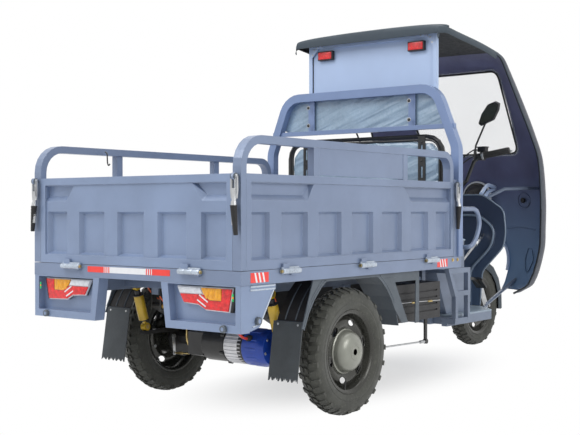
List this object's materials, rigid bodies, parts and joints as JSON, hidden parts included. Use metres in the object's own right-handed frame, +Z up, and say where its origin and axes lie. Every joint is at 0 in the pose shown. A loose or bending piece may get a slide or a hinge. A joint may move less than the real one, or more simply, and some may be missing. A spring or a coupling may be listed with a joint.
{
  "type": "electric cargo tricycle",
  "caption": "Three-wheeled electric truck with a drop-side cargo bed, hoop rails, half cab with roof and fairing, leaf-sprung rear axle and a telescopic front fork.",
  "frame": {"origin": "centre of the bounding box's base, on the ground", "axes": "+Y forward, the way it drives; +X the vehicle's right; +Z up"},
  "size_m": [1.186, 3.0702, 1.7356],
  "materials": {
    "chassis_paint": "semi-gloss",
    "bed_paint": "semi-gloss",
    "partition_paint": "satin",
    "shell_plastic": "satin",
    "black_steel": "satin",
    "bare_steel": "satin",
    "tyre": "matte",
    "flap_rubber": "matte",
    "fender_plastic": "matte",
    "black_plastic": "satin",
    "motor_blue": "gloss",
    "shock_yellow": "gloss",
    "lamp_red": "gloss",
    "button_yellow": "gloss",
    "cushion_cover": "creased film over vinyl",
    "windscreen_glass": "clear",
    "lamp_glass": "clear"
  },
  "bodies": {
    "chassis": {"chassis_frame": "chassis_paint", "bed_frame": "bed_paint", "front_board": "bed_paint", "rear_apron_left": "bed_paint", "rear_apron_right": "bed_paint", "tail_lamp_left": "lamp_red", "tail_lamp_right": "lamp_red", "guard_frame": "bed_paint", "upper_backrest": "cushion_cover", "seat_back_frame": "black_steel", "seat_backrest": "cushion_cover", "rear_partition": "partition_paint", "cab_roof": "shell_plastic", "front_fairing": "shell_plastic", "windscreen": "windscreen_glass", "headlight": "lamp_glass", "leg_shield": "shell_plastic", "floor_pan": "chassis_paint", "seat_box": "chassis_paint", "battery_box": "black_plastic", "fender_left": "fender_plastic", "fender_right": "fender_plastic", "mud_flap_left": "flap_rubber", "mud_flap_right": "flap_rubber", "leaf_spring_left": "black_steel", "leaf_spring_right": "black_steel", "shock_absorber_left": "shock_yellow", "shock_absorber_right": "shock_yellow", "axle_housing": "black_steel", "motor": "motor_blue", "motor_cable": "flap_rubber"},
    "tailgate": {"tailgate": "bed_paint"},
    "side_board_left": {"side_board_left": "bed_paint"},
    "side_board_right": {"side_board_right": "bed_paint"},
    "latch_rear_left": {"latch_lever_rear_left": "bare_steel"},
    "latch_rear_right": {"latch_lever_rear_right": "bare_steel"},
    "latch_front_left": {"latch_lever_front_left": "bare_steel"},
    "latch_front_right": {"latch_lever_front_right": "bare_steel"},
    "rear_wheel_left": {"rear_wheel_left": "black_steel", "rear_tyre_left": "tyre"},
    "rear_wheel_right": {"rear_wheel_right": "black_steel", "rear_tyre_right": "tyre"},
    "steering": {"steering_fork": "black_steel", "handlebar": "black_steel", "instrument_pod": "black_plastic"},
    "fork_lower": {"fork_sliders": "bare_steel", "front_mudguard": "shell_plastic"},
    "front_wheel": {"front_wheel": "black_steel", "front_tyre": "tyre"},
    "throttle_grip": {"throttle_grip": "flap_rubber"},
    "brake_lever_left": {"brake_lever_left": "bare_steel"},
    "brake_lever_right": {"brake_lever_right": "bare_steel"},
    "mirror_left": {"mirror_left": "black_plastic"},
    "mirror_right": {"mirror_right": "black_plastic"},
    "horn_button": {"horn_button": "button_yellow"},
    "brake_pedal": {"brake_pedal": "black_steel"},
    "brake_crank": {"brake_crank": "black_steel"},
    "brake_rod": {"brake_rod": "bare_steel"},
    "parking_lever": {"parking_lever": "bare_steel"},
    "seat_cushion": {"seat_cushion": "cushion_cover"}
  },
  "joints": [
    {"name": "tailgate_hinge", "type": "hinge", "parent": "chassis", "child": "tailgate", "pos_m": [0, -1.52274, 0.62897], "axis": [1, 0, 0], "range_deg": [0, 175]},
    {"name": "side_board_right_hinge", "type": "hinge", "parent": "chassis", "child": "side_board_right", "pos_m": [0.5756, -0.7223, 0.61269], "axis": [0, 0.9998, -0.0203], "range_deg": [0, 175]},
    {"name": "side_board_left_hinge", "type": "hinge", "parent": "chassis", "child": "side_board_left", "pos_m": [-0.5756, -0.7223, 0.61269], "axis": [0, -0.9998, 0.0203], "range_deg": [0, 175]},
    {"name": "latch_rear_right_pivot", "type": "hinge", "parent": "side_board_right", "child": "latch_rear_right", "pos_m": [0.545, -1.51962, 0.97397], "axis": [-1, 0, 0], "range_deg": [0, 110]},
    {"name": "latch_rear_left_pivot", "type": "hinge", "parent": "side_board_left", "child": "latch_rear_left", "pos_m": [-0.545, -1.51962, 0.97397], "axis": [-1, 0, 0], "range_deg": [0, 110]},
    {"name": "latch_front_right_pivot", "type": "hinge", "parent": "chassis", "child": "latch_front_right", "pos_m": [0.5795, 0.04056, 0.94225], "axis": [0, -0.9998, 0.0203], "range_deg": [0, 110]},
    {"name": "latch_front_left_pivot", "type": "hinge", "parent": "chassis", "child": "latch_front_left", "pos_m": [-0.5795, 0.04056, 0.94225], "axis": [0, 0.9998, -0.0203], "range_deg": [0, 110]},
    {"name": "rear_wheel_left_spin", "type": "hinge", "parent": "chassis", "child": "rear_wheel_left", "pos_m": [-0.496, -0.79246, 0.26134], "axis": [1, 0, 0], "continuous": true},
    {"name": "rear_wheel_right_spin", "type": "hinge", "parent": "chassis", "child": "rear_wheel_right", "pos_m": [0.496, -0.79246, 0.26134], "axis": [1, 0, 0], "continuous": true},
    {"name": "steering_axis", "type": "hinge", "parent": "chassis", "child": "steering", "pos_m": [0, 0.96945, 0.6918], "axis": [0, -0.4823, 0.876], "range_deg": [-32, 32]},
    {"name": "fork_slide", "type": "slide", "parent": "steering", "child": "fork_lower", "axis": [0, -0.4823, 0.876], "range_m": [0, 0.06], "stiffness_N_per_m": 24000, "springref_m": -0.06},
    {"name": "front_wheel_spin", "type": "hinge", "parent": "fork_lower", "child": "front_wheel", "pos_m": [0, 1.27347, 0.23705], "axis": [1, 0, 0], "continuous": true},
    {"name": "throttle_twist", "type": "hinge", "parent": "steering", "child": "throttle_grip", "pos_m": [0.39698, 0.65691, 1.09608], "axis": [0.9644, 0.1987, 0.1744], "range_deg": [0, 60], "stiffness_Nm_per_rad": 0.25, "springref_deg": -17.19},
    {"name": "brake_lever_right_pull", "type": "hinge", "parent": "steering", "child": "brake_lever_right", "pos_m": [0.37449, 0.68827, 1.09128], "axis": [0, -0.0203, -0.9998], "range_deg": [0, 10], "stiffness_Nm_per_rad": 0.9, "springref_deg": -11.46},
    {"name": "brake_lever_left_pull", "type": "hinge", "parent": "steering", "child": "brake_lever_left", "pos_m": [-0.37449, 0.68827, 1.09128], "axis": [0, 0.0203, 0.9998], "range_deg": [0, 10], "stiffness_Nm_per_rad": 0.9, "springref_deg": -11.46},
    {"name": "mirror_right_swivel", "type": "hinge", "parent": "steering", "child": "mirror_right", "pos_m": [0.35, 0.64764, 1.08794], "axis": [0, 0.0203, 0.9998], "range_deg": [-30, 30]},
    {"name": "mirror_left_swivel", "type": "hinge", "parent": "steering", "child": "mirror_left", "pos_m": [-0.35, 0.64764, 1.08794], "axis": [0, 0.0203, 0.9998], "range_deg": [-30, 30]},
    {"name": "horn_press", "type": "slide", "parent": "steering", "child": "horn_button", "axis": [0, 0.9998, -0.0203], "range_m": [0, 0.002], "stiffness_N_per_m": 400, "springref_m": -0.001},
    {"name": "brake_pedal_press", "type": "hinge", "parent": "chassis", "child": "brake_pedal", "pos_m": [0.372, 0.49307, 0.47096], "axis": [-1, 0, 0], "range_deg": [0, 25], "stiffness_Nm_per_rad": 6, "springref_deg": -22.92},
    {"name": "brake_crank_turn", "type": "hinge", "parent": "chassis", "child": "brake_crank", "pos_m": [0.4, 0.04303, 0.37509], "axis": [1, 0, 0], "range_deg": [0, 8.2]},
    {"name": "brake_rod_pull", "type": "slide", "parent": "chassis", "child": "brake_rod", "axis": [0, 0.9998, -0.0203], "range_m": [0, 0.026]},
    {"name": "parking_lever_pull", "type": "hinge", "parent": "chassis", "child": "parking_lever", "pos_m": [0.327, 0.48401, 0.51715], "axis": [1, 0, 0], "range_deg": [0, 30]},
    {"name": "seat_lid", "type": "hinge", "parent": "chassis", "child": "seat_cushion", "pos_m": [0, 0.47384, 0.65669], "axis": [-1, 0, 0], "range_deg": [0, 70]}
  ],
  "couplings": [
    {"joint": "brake_crank_turn", "follows": "brake_pedal_press", "ratio": 0.32},
    {"joint": "brake_rod_pull", "follows": "brake_pedal_press", "m_per_rad": 0.0576}
  ]
}
